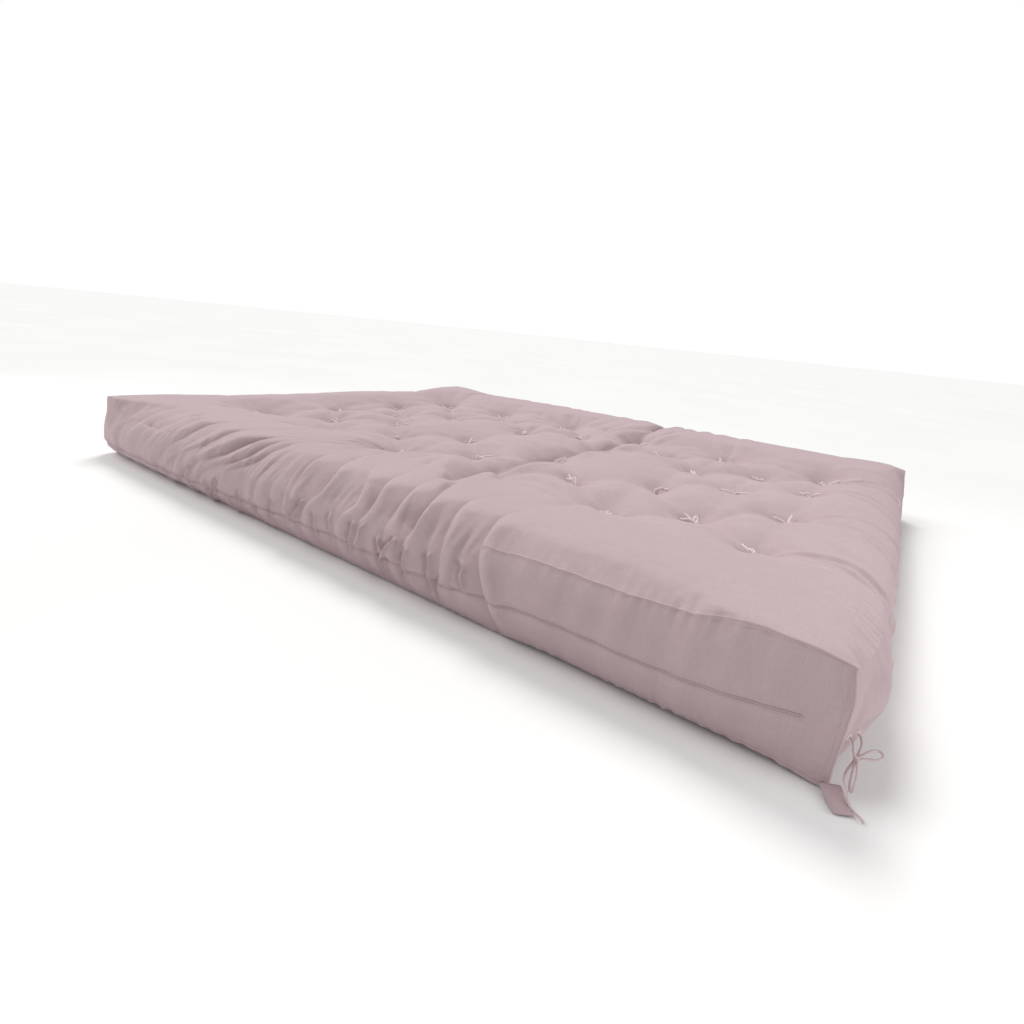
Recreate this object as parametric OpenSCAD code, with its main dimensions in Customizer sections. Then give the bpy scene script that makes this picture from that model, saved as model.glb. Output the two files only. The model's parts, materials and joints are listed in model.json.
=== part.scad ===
// Tufted futon mattress, 160 x 200 cm.
// A sewn cotton case of seven panels holds six layers of cotton felt round one
// foam core. Twine stitches pull the whole stack together at each tuft. One
// crosswise crease lets the mattress fold double, so every piece that crosses
// the crease is modelled as a head half and a foot half that meet there.
//
// Frame: millimetres, +Z up, +X towards the foot end, +Y towards the back long
// side, origin at the middle of the face that the mattress lies on.

/* [Body] */
// Length of the mattress along X
body_l = 2000; // [1900:10:2100]
// Width of the mattress along Y
body_w = 1600; // [1400:10:1800]
// Thickness of the cloth of the case
cloth_t = 1.5; // [1:0.5:2.5]
// Thickness of one layer of cotton felt
felt_t = 19; // [16:1:24]
// Thickness of the foam core
foam_t = 43; // [30:1:60]

/* [Crease] */
// Distance of the crease from the foot end
crease_from_foot = 820; // [790:5:830]
// Gap between the two halves at the crease
crease_gap = 1; // [0.6:0.2:2]

/* [Tufts] */
// Distance of the first row of tufts from the foot end
tuft_margin = 185; // [160:5:220]
// Distance between rows of tufts
row_pitch = 155; // [150:1:158]
// Distance between the tufts of one row
tuft_pitch = 293; // [260:1:320]
// Radius of the dimple that a tuft pulls into the top
dimple_r = 55; // [40:1:70]
// Depth of that dimple
dimple_d = 17; // [10:1:17]
// Depth of the smaller dimple in the underside
under_d = 12; // [9:1:15]
// Diameter of the tufting twine
twine_d = 3; // [2:0.5:4]
// Distance between the two passes of twine of one stitch
stitch_w = 22; // [16:1:30]

/* [Side] */
// How far the four sides bulge out between their top and bottom seams
side_bulge = 16; // [8:1:24]
// Height of the seam that joins the two strips of the front band
seam_z = 52; // [45:1:70]

/* [Corner tie] */
// Diameter of the tie cord
cord_d = 3; // [2:0.5:4]
// Outer diameter of a worked eyelet
eyelet_d = 11; // [9:1:14]
// Width of the corner tab
tab_w = 26; // [20:1:32]
// Length of the corner tab from its seam to its fold
tab_l = 36; // [30:1:40]

/* [Hidden] */
$fn = 48;

mauve = [0.76, 0.66, 0.67];
cotton = [0.93, 0.90, 0.84];
foam_colour = [0.93, 0.86, 0.62];
cord_colour = [0.88, 0.80, 0.79];

half_l = body_l / 2;
half_w = body_w / 2;
crease_x = half_l - crease_from_foot;
HEAD = -1;
FOOT = 1;

// Heights of the stack, from the face that the mattress lies on
felt_low = cloth_t;
foam_z = felt_low + 3 * felt_t;
felt_high = foam_z + foam_t;
panel_z = felt_high + 3 * felt_t;
body_h = panel_z + cloth_t;

// The sides bow out along one arc from the bottom seam to the top seam
bow_r = (pow(body_h / 2, 2) + pow(side_bulge, 2)) / (2 * side_bulge);
bow_centre = side_bulge - bow_r;
function bow(z) = bow_centre + sqrt(pow(bow_r, 2) - pow(z - body_h / 2, 2));

// Dimples taper to a small floor where the stitch lies
dimple_floor_r = stitch_w / 2 + 5;
under_r = 38;
shell_gap = 0.5;
leg_r = twine_d / 2;
leg_hole_r = leg_r + 0.5;
knot_r = 5;
tail_l = 30;
tail_tilt = 12;

// Tufts: rows of four and rows between them, where only the first and the last
// short row have a tuft on the centre line
ROWS = 11;
FULL = [-1.5, -0.5, 0.5, 1.5];
SHORT = [-1, 0, 1];
SHORT_NO_CENTRE = [-1, 1];
function row_x(row) = half_l - tuft_margin - row * row_pitch;
function row_places(row) =
    row % 2 == 0 ? FULL : (row == 1 || row == ROWS - 2) ? SHORT : SHORT_NO_CENTRE;
TUFTS = [
    for (row = [0 : ROWS - 1])
        for (place = row_places(row))
            [row_x(row), place * tuft_pitch]
];
function tufts_of(side) = [for (t = TUFTS) if (side * (t[0] - crease_x) > 0) t];
// Tufts whose dimples reach into a half, the other side's nearest row included
function dimples_near(side) =
    [for (t = TUFTS) if (side * (t[0] - crease_x) > -dimple_r - 2) t];

// Corner tie: one limp cord through two eyelets, tied outside in a bow
eyelet_z = 63;
eyelet_y = [-half_w + 25, -half_w + 48];
eyelet_t = 2;
eyelet_hole_r = cord_d / 2 + 0.2;
eyelet_lean = asin((eyelet_z - body_h / 2) / bow_r);
knot_at = [1027, -782, 46];
tie_knot_r = 5.5;
// Out of the front eyelet, through the knot, and round the loop that stands out sideways
SIDE_LOOP_ROUTE = [
    [1015.5, -775, 63.1], [1018.5, -775, 62.9], [1022, -776, 60.5], [1024, -778, 55],
    [1026, -781, 49], [1030, -783.5, 45.5], [1036, -785, 46.5], [1043, -786, 49],
    [1050, -785, 50.5], [1056, -782, 49], [1058.5, -777, 46], [1056, -773, 42.5],
    [1050, -771, 40], [1043, -771.5, 39.5], [1036, -774, 41], [1031, -778, 43.5]
];
// Out of the back eyelet, through the knot, and round the loop that hangs
LOW_LOOP_ROUTE = [
    [1015.5, -752, 63.1], [1018.5, -752, 62.9], [1022, -754, 61], [1024.5, -759, 58],
    [1026, -766, 55], [1027, -773, 52], [1028, -780, 48], [1029, -787, 43.5],
    [1030.5, -793, 38], [1031.5, -797, 31], [1032, -798.5, 23], [1032, -797, 15.5],
    [1031.5, -792, 11.5], [1031, -787, 13.5], [1030, -785, 20], [1029, -784, 27],
    [1028, -783.5, 34], [1027.5, -783, 41]
];
TAIL_ROUTE = [
    [1024.5, -785.5, 44], [1022.5, -790, 41], [1021, -795, 36.5], [1020, -799, 31],
    [1020.5, -802, 25], [1023, -804, 19.5], [1025, -805, 14], [1025, -806.5, 8.5],
    [1027, -810, 4], [1031, -815, 2], [1036, -821, 1.8], [1040, -827, 1.8]
];

// ---- helpers ----

// Everything on one side of the crease
module half_space(side) {
    reach = body_l;
    translate([side > 0 ? crease_x + crease_gap / 2 : crease_x - crease_gap / 2 - reach,
               -body_w, -10])
        cube([reach, 2 * body_w, body_h + 40]);
}

// A slab in plan, cut at the crease, that reaches that far past the seams
module half_slab(side, z, t, reach) {
    x0 = side > 0 ? crease_x + crease_gap / 2 : -half_l - reach;
    x1 = side > 0 ? half_l + reach : crease_x - crease_gap / 2;
    translate([x0, -half_w - reach, z])
        cube([x1 - x0, body_w + 2 * reach, t]);
}

// The taper of a dimple, from its rim at z down to its floor
module dimple_cone(rim_r, floor_r, depth) {
    translate([0, 0, -depth])
        cylinder(h = depth, r1 = floor_r, r2 = rim_r);
}

// The two passes of a stitch, as holes or as twine
module stitch_legs(tufts, r, z0, z1) {
    for (t = tufts, s = [-1, 1])
        translate([t[0], t[1] + s * stitch_w / 2, z0])
            cylinder(h = z1 - z0, r = r, $fn = 24);
}

// A plain layer of filling with the holes that the twine passes through
module filling_layer(side, z, t) {
    difference() {
        half_slab(side, z, t, min(bow(z), bow(z + t)) - cloth_t - shell_gap);
        stitch_legs(tufts_of(side), leg_hole_r, z - 1, z + t + 1);
    }
}

// A cloth panel with dimples: dir +1 has them in its upper face
module dimpled_panel(side, z, dir, rim_r, depth) {
    tufts = dimples_near(side);
    module at_tufts(grow) {
        for (t = tufts)
            translate([t[0], t[1], dir > 0 ? z + cloth_t - grow : z + grow])
                mirror([0, 0, dir > 0 ? 0 : 1])
                    dimple_cone(rim_r, dimple_floor_r, depth);
    }
    difference() {
        union() {
            half_slab(side, z, cloth_t, 0);
            intersection() {
                at_tufts(cloth_t);
                half_space(side);
            }
        }
        at_tufts(0);
        stitch_legs(tufts_of(side), leg_hole_r, z - depth - 3, z + depth + 3);
    }
}

// A strip of a side, along X from x0 to x1 with its seams at y = 0, bowed out to
// -Y. An end that meets the next side at a corner is mitred.
module side_strip(x0, x1, z0, z1, mitre_0, mitre_1) {
    reach = side_bulge + 4;
    m0 = mitre_0 ? reach : 0;
    m1 = mitre_1 ? reach : 0;
    intersection() {
        translate([x0 - reach, -bow_centre, body_h / 2])
            rotate([0, 90, 0])
                difference() {
                    cylinder(h = x1 - x0 + 2 * reach, r = bow_r, $fn = 96);
                    translate([0, 0, -1])
                        cylinder(h = x1 - x0 + 2 * reach + 2, r = bow_r - cloth_t, $fn = 96);
                }
        translate([0, 0, z0])
            linear_extrude(z1 - z0)
                polygon([[x0 - m0, -reach], [x1 + m1, -reach],
                         [x1 - m1, reach], [x0 + m0, reach]]);
    }
}

// The part of a long side's strip that lies on one side of the crease
module long_strip(side, z0, z1) {
    x0 = side > 0 ? crease_x + crease_gap / 2 : -half_l;
    x1 = side > 0 ? half_l : crease_x - crease_gap / 2;
    translate([0, -half_w, 0])
        side_strip(x0, x1, z0, z1, side < 0, side > 0);
}

// Places its children on the bowed foot end, with +Z pointing out of the cloth
module on_foot_end(y) {
    translate([half_l + bow_centre, y, body_h / 2])
        rotate([0, 90 - eyelet_lean, 0])
            translate([0, 0, bow_r])
                children();
}

// A tube swept along a route, with one ring at each of its points
function unit(v) = v / norm(v);
function tangent(route, i) =
    unit(route[min(i + 1, len(route) - 1)] - route[max(i - 1, 0)]);
function sideways(t) = unit(cross(t, abs(t[2]) < 0.9 ? [0, 0, 1] : [1, 0, 0]));
// Each ring's first axis is the last one's, turned as little as the route allows
function ring_axes(route, i = 0, last = [0, 0, 0]) =
    let (
        t = tangent(route, i),
        u = i == 0 ? sideways(t) : unit(last - t * (last * t))
    )
    i == len(route) - 1 ? [u] : concat([u], ring_axes(route, i + 1, u));
module tube(route, d, sides = 8) {
    axes = ring_axes(route);
    last = len(route) - 1;
    points = [
        for (i = [0 : last], k = [0 : sides - 1])
            let (
                t = tangent(route, i),
                u = axes[i],
                v = cross(t, u),
                a = 360 * k / sides
            )
            route[i] + (u * cos(a) + v * sin(a)) * d / 2
    ];
    walls = [
        for (i = [0 : last - 1], k = [0 : sides - 1])
            let (n = (k + 1) % sides)
            [i * sides + k, (i + 1) * sides + k, (i + 1) * sides + n, i * sides + n]
    ];
    start = [for (k = [0 : sides - 1]) k];
    end = [for (k = [sides - 1 : -1 : 0]) last * sides + k];
    polyhedron(points, concat([start], walls, [end]));
}

// ---- the case ----

module top_panel(side) {
    color(mauve) dimpled_panel(side, panel_z, 1, dimple_r, dimple_d);
}

module bottom_panel(side) {
    color(mauve) dimpled_panel(side, 0, -1, under_r, under_d);
}

module front_band_upper(side) {
    color(mauve) long_strip(side, seam_z, panel_z);
}

module front_band_lower(side) {
    color(mauve) long_strip(side, cloth_t, seam_z);
}

module back_band(side) {
    color(mauve) mirror([0, 1, 0]) long_strip(side, cloth_t, panel_z);
}

module end_band(side) {
    color(mauve)
        difference() {
            mirror([side > 0 ? 0 : 1, 0, 0])
                translate([half_l, 0, 0])
                    rotate([0, 0, 90])
                        side_strip(-half_w, half_w, cloth_t, panel_z, true, true);
            if (side > 0)
                for (y = eyelet_y)
                    on_foot_end(y)
                        translate([0, 0, -cloth_t - 2])
                            cylinder(h = cloth_t + 4, r = eyelet_hole_r, $fn = 24);
        }
}

// ---- the filling ----

// number 1 to 3 lie under the foam core, 4 to 6 above it
function felt_z(number) =
    number <= 3 ? felt_low + (number - 1) * felt_t : felt_high + (number - 4) * felt_t;

// The pocket in a felt layer that a dimple of the cloth sits in, with room round it
module felt_pocket(rim_r, depth) {
    room = 3 * shell_gap;
    dimple_cone(rim_r + room, dimple_floor_r + room, depth + shell_gap + 0.1);
}

module felt(side, number) {
    z = felt_z(number);
    color(cotton)
        difference() {
            filling_layer(side, z, felt_t);
            if (number == 1)
                for (t = dimples_near(side))
                    translate([t[0], t[1], z - 0.01])
                        mirror([0, 0, 1])
                            felt_pocket(under_r, under_d);
            if (number == 6)
                for (t = dimples_near(side))
                    translate([t[0], t[1], z + felt_t + 0.01])
                        felt_pocket(dimple_r, dimple_d);
        }
}

module foam_core(side) {
    color(foam_colour) filling_layer(side, foam_z, foam_t);
}

// ---- tufts ----

// One stitch: a bar under the mattress, two passes up, and a knot with two tails
module tuft_stitch() {
    bar_z = under_d - leg_r - 1;
    top_z = body_h - dimple_d + leg_r + 0.5;
    for (z = [bar_z, top_z])
        translate([0, -stitch_w / 2, z])
            rotate([-90, 0, 0])
                cylinder(h = stitch_w, r = leg_r, $fn = 24);
    for (s = [-1, 1])
        translate([0, s * stitch_w / 2, bar_z])
            cylinder(h = top_z - bar_z, r = leg_r, $fn = 24);
    for (s = [-1, 1], z = [bar_z, top_z])
        translate([0, s * stitch_w / 2, z])
            sphere(r = leg_r, $fn = 24);
    translate([0, 0, top_z + 2])
        sphere(r = knot_r, $fn = 24);
    for (turn = [25, 205])
        translate([0, 0, top_z + 2])
            rotate([0, 90 - tail_tilt, turn])
                cylinder(h = tail_l, r = leg_r, $fn = 24);
}

module tuft_twine(side) {
    color(cord_colour)
        for (t = tufts_of(side))
            translate([t[0], t[1], 0])
                tuft_stitch();
}

// ---- corner tie and tab, at the foot end's front corner ----

module corner_eyelets() {
    color(cord_colour)
        for (y = eyelet_y)
            on_foot_end(y)
                difference() {
                    cylinder(h = eyelet_t, r = eyelet_d / 2);
                    translate([0, 0, -1])
                        cylinder(h = eyelet_t + 2, r = eyelet_hole_r, $fn = 24);
                }
}

module corner_tie_knot() {
    color(cord_colour)
        translate(knot_at)
            sphere(r = tie_knot_r);
}

module corner_tie_side_loop() {
    color(cord_colour) tube(SIDE_LOOP_ROUTE, cord_d);
}

module corner_tie_low_loop() {
    color(cord_colour) tube(LOW_LOOP_ROUTE, cord_d);
}

module corner_tie_tail() {
    color(cord_colour) tube(TAIL_ROUTE, cord_d);
}

// A tape folded double and sewn into the bottom of the corner, lying outwards
module corner_tab() {
    tab_t = 2 * cloth_t;
    lift = 0.4;
    color(mauve)
        translate([half_l + 1, -half_w - 1, lift])
            rotate([0, 0, -54])
                translate([0, -tab_w / 2, 0]) {
                    cube([tab_l, tab_w, tab_t]);
                    translate([tab_l, tab_w, tab_t / 2])
                        rotate([90, 0, 0])
                            cylinder(h = tab_w, r = tab_t / 2, $fn = 24);
                }
}

top_panel(HEAD);  // top_panel_head
top_panel(FOOT);  // top_panel_foot
bottom_panel(HEAD);  // bottom_panel_head
bottom_panel(FOOT);  // bottom_panel_foot
front_band_upper(HEAD);  // front_band_upper_head
front_band_upper(FOOT);  // front_band_upper_foot
front_band_lower(HEAD);  // front_band_lower_head
front_band_lower(FOOT);  // front_band_lower_foot
back_band(HEAD);  // back_band_head
back_band(FOOT);  // back_band_foot
end_band(HEAD);  // end_band_head
end_band(FOOT);  // end_band_foot
felt(HEAD, 1);  // felt_1_head
felt(FOOT, 1);  // felt_1_foot
felt(HEAD, 2);  // felt_2_head
felt(FOOT, 2);  // felt_2_foot
felt(HEAD, 3);  // felt_3_head
felt(FOOT, 3);  // felt_3_foot
foam_core(HEAD);  // foam_core_head
foam_core(FOOT);  // foam_core_foot
felt(HEAD, 4);  // felt_4_head
felt(FOOT, 4);  // felt_4_foot
felt(HEAD, 5);  // felt_5_head
felt(FOOT, 5);  // felt_5_foot
felt(HEAD, 6);  // felt_6_head
felt(FOOT, 6);  // felt_6_foot
tuft_twine(HEAD);  // tuft_twine_head
tuft_twine(FOOT);  // tuft_twine_foot
corner_eyelets();
corner_tie_knot();
corner_tie_side_loop();
corner_tie_low_loop();
corner_tie_tail();
corner_tab();
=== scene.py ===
import json
import math

import bpy
import numpy as np
from mathutils import Matrix, Vector

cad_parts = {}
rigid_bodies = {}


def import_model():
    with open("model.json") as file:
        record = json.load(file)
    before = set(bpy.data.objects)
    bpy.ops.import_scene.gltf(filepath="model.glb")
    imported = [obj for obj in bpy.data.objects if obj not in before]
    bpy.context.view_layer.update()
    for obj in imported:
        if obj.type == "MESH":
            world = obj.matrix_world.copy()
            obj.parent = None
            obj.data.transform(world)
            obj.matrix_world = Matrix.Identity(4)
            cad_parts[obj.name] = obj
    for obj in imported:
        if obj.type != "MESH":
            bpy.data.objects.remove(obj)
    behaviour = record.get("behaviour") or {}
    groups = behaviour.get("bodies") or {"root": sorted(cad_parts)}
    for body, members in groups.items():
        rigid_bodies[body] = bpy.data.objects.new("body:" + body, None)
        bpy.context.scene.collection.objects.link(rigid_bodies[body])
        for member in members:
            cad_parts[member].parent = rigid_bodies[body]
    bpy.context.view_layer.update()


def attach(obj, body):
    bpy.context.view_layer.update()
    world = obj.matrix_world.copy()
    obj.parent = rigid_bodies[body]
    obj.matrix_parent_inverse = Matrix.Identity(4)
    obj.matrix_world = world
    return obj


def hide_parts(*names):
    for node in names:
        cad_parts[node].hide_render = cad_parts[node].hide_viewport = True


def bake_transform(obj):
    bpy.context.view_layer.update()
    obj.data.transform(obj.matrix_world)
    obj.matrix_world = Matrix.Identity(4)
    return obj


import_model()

# ---------------------------------------------------------------- sizes, in metres
LENGTH, WIDTH, THICK = 2.0, 1.6, 0.16
HALF_L, HALF_W = LENGTH / 2, WIDTH / 2
CELL = 0.0125  # the grid that the cloth is simulated on, and its points along X and Y
COARSE_X, COARSE_Y = 161, 129
CREASE_X = 0.18
LEVEL = 0.156  # the top's general height; borders and pillows rise over it
HIGHEST, HEIGHT_EASE = 0.1735, 0.006  # the top is pressed down gently below HIGHEST
TUFT_MARGIN, ROW_PITCH, TUFT_PITCH, ROWS = 0.185, 0.155, 0.293, 11
SEAM_Z = 0.052
SEAM_END_X = 0.965  # the strip seam stops just short of the near corner
HEAD, FOOT = "head_section", "foot_section"
# The cloth is cut larger than its filling by these shares, and simulated for so many
# frames; no point may then have moved further than the last
FULLNESS, FRAMES, MOST_MOVED = (1.045, 1.045, 1.02), 24, 0.016
STITCH = (0.0042, 0.0034, 0.0008)  # pitch, length and thickness
TAB_STITCH = (0.0032, 0.0024, 0.0006)

TOP, BOTTOM, FRONT, BACK, FOOT_END, HEAD_END = range(6)
# For each panel of the case: the two axes its grid runs along, and its place on the third
PANELS = (
    (0, 1, THICK), (1, 0, 0.0), (0, 2, -HALF_W), (2, 0, HALF_W), (1, 2, HALF_L), (2, 1, -HALF_L),
)


def mm(*numbers):
    """Lengths written in millimetres, in metres."""
    return np.array(numbers) / 1000


def tuft_places():
    places = []
    for row in range(ROWS):
        x = HALF_L - TUFT_MARGIN - row * ROW_PITCH
        if row % 2 == 0:
            across = (-1.5, -0.5, 0.5, 1.5)
        elif row in (1, ROWS - 2):
            across = (-1, 0, 1)
        else:
            across = (-1, 1)
        places += [(x, a * TUFT_PITCH) for a in across]
    return np.array(places)


TUFTS = tuft_places()


# ---------------------------------------------------------------- small maths
def ramp(a, b, x):
    """0 at a, 1 at b, smooth between."""
    t = np.clip((x - a) / (b - a), 0, 1)
    return t * t * (3 - 2 * t)


def hump(x, middle, width):
    return np.exp(-(((x - middle) / width) ** 2))


def wave(x, seed, count, low, high):
    """A sum of sine waves of low to high cycles a metre, about 1 in size."""
    r = np.random.default_rng(seed)
    total = np.zeros_like(x)
    for _ in range(count):
        f, phase, size = r.uniform(low, high), r.uniform(0, 6.28), r.uniform(0.4, 1)
        total += size * np.sin(2 * np.pi * f * x + phase)
    return total / np.sqrt(count)


def lumps(p, seed, scale, count=20):
    """Smooth random lumps over the plan, about scale across and 1 in size."""
    r = np.random.default_rng(seed)
    total = np.zeros(len(p))
    for _ in range(count):
        a = r.uniform(0, 2 * np.pi)
        k = 2 * np.pi / scale * r.uniform(0.6, 1.6) * np.array([np.cos(a), np.sin(a)])
        total += np.sin(p[:, :2] @ k + r.uniform(0, 6.28))
    return total / np.sqrt(count / 2)


def to_segment(p, a, b):
    """Distance of points from the segment a to b, and how far along it they lie."""
    d = b - a
    t = np.clip(((p - a) @ d) / (d @ d), 0, 1)
    return np.linalg.norm(p - a - t[:, None] * d, axis=1), t


def tuft_distance(p):
    return np.linalg.norm(p[:, None, :2] - TUFTS[None], axis=2)


def unit(v):
    """Vectors along the last axis, made 1 long."""
    return v / np.maximum(np.linalg.norm(v, axis=-1, keepdims=True), 1e-12)


def run_along(points):
    """How far along a path each of its points lies."""
    steps = np.linalg.norm(np.diff(points, axis=0), axis=1)
    return np.concatenate(([0], np.cumsum(steps)))


def sample(at, run, values):
    """Three columns of values known at run, read at the places in at."""
    return np.stack([np.interp(at, run, values[:, k]) for k in range(3)], axis=-1)


# ---------------------------------------------------------------- the sewn box
def panel_grid(panel, axes):
    """One panel of the box as cut, as a grid of flat points wound to face outwards."""
    a, b, level = PANELS[panel]
    out = np.full((len(axes[a]), len(axes[b]), 3), level)
    out[:, :, a], out[:, :, b] = axes[a][:, None], axes[b]
    return out


def grid_faces(ids):
    return np.stack((ids[:-1, :-1], ids[1:, :-1], ids[1:, 1:], ids[:-1, 1:]), 2).reshape(-1, 4)


def wrapped_ids(rows, columns):
    """Point numbers of a tube's rows of points, with the first column again at the end."""
    ids = np.arange(rows * columns).reshape(rows, columns)
    return np.hstack((ids, ids[:, :1]))


def sewn_box(xs, ys, zs):
    """Flat points of the whole box, whose panels share their seam points, and each
    panel's grid of point numbers."""
    grids = [panel_grid(p, (xs, ys, zs)) for p in range(6)]
    every = np.concatenate([g.reshape(-1, 3) for g in grids])
    rounded = np.round(every * 1e6).astype(np.int64)
    _, first, where = np.unique(rounded, axis=0, return_index=True, return_inverse=True)
    where = where.ravel()
    ids, start = [], 0
    for g in grids:
        count = g.shape[0] * g.shape[1]
        ids.append(where[start : start + count].reshape(g.shape[:2]))
        start += count
    return every[first], ids


class Zones:
    """Where each point of the sewn box lies: its panel, and how far it is from the seams."""

    def __init__(self, flat):
        self.x, self.y, self.z = flat.T
        self.top = np.abs(self.z - THICK) < 1e-5
        self.bottom = self.z < 1e-5
        self.in_x = HALF_L - np.abs(self.x)
        self.in_y = HALF_W - np.abs(self.y)
        self.side_x = self.in_x < 1e-5
        self.side_y = self.in_y < 1e-5
        self.front = self.y < 0
        self.up = self.z / THICK
        self.foot_wall = self.side_x & (self.x > 0) & ~self.top & ~self.bottom


# How the cover's wall and border lie where they are rolled: height share of the wall
# against how far it stands out and how high, and distance in from the top seam
WALL_UP = (0.0, 0.15, 0.35, 0.55, 0.75, 0.9, 1.0)
WALL_OUT = mm(-4, 14, 26, 27, 20, 9, 0)
WALL_Z = mm(0, 24, 56, 83, 105, 118.5, 126.5)
BORDER_IN = mm(0, 15, 35, 60, 90, 130)
BORDER_DROP = mm(29.5, 20, 11.2, 5, 1.4, 0)


# How far the foot end stands out, along Y, and the share of that up its height
END_Y = (-0.80, -0.775, -0.757, -0.73, -0.69, -0.60, -0.50, 0.0, 0.5, 0.8)
END_OUT = mm(6, 13.5, 21.5, 34, 45.5, 43, 38, 30, 14, 6)
END_SHAPE = (0.20, 0.58, 0.93, 1.0, 0.93, 0.72, 0.45)
HEAD_FULLER = 1.35  # how much further than WALL_OUT the head end stands out
# The height of the strip seam, drawn down where the side is rolled, along X
STRIP_X = (-1.0, -0.6, -0.38, -0.17, 0.0, 0.13, 0.23, 0.41, 0.60, 0.79, 0.89, 1.0)
STRIP_Z = mm(30, 30, 34, 42, 51, 56, 54, 57, 66, 70, 76, 84)


def edge_roundness(z):
    """How far each side is rolled: 0 is a crisp seam, as at the corners, and 1 a full roll."""
    front = np.where(z.x < 0, 0.65 + 0.35 * ramp(0, 0.16, z.in_x), 1)
    front = front * (1 - 0.45 * ramp(0.36, 0.64, z.x) - 0.50 * ramp(0.60, 0.95, z.x))
    back = 0.40 * ramp(0, 0.25, z.in_x)
    ends = np.where(z.x > 0, 0.85 * ramp(-0.05, 0.11, z.in_y), 0.40 * ramp(0.05, 0.30, z.in_y))
    return np.where(z.front, front, back), ends


def pillow_field(flat):
    """Height of the tufted top over its plane: dimples, and valleys from tuft to tuft."""
    distance = tuft_distance(flat)
    dimple = (1 / (1 + (distance / 0.038) ** 2) ** 1.05).max(axis=1)
    shifted = flat[:, :2] + 0.012 * np.c_[lumps(flat, 5, 0.35), lumps(flat, 6, 0.35)]
    valley = np.zeros(len(flat))
    for i, a in enumerate(TUFTS):
        for b in TUFTS[i + 1 :]:
            gap = np.linalg.norm(b - a)
            diagonal = gap < 0.24
            if diagonal or (abs(b[0] - a[0]) < 0.01 and gap < 0.30):
                off, along = to_segment(shifted, a, b)
                depth = 0.75 if diagonal else 0.45
                sag = 1 - 0.45 * np.sin(np.pi * along)
                valley = np.maximum(valley, depth * sag * np.exp(-np.abs(off / 0.024) ** 1.5))
    return -0.039 * dimple - 0.024 * valley * (1 - dimple)


def from_start(out, end):
    """A ramp that is already rising at 0, where it is 0, and ends at end."""
    return ramp(-0.12, end, out) - ramp(-0.12, end, 0)


def crease_line(y):
    """The crease's place along X: straight across, drawn towards the foot at the front."""
    return CREASE_X + 0.004 * wave(y, 3, 4, 1, 4) + 0.13 * ramp(-0.46, -0.78, y) ** 1.2


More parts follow.
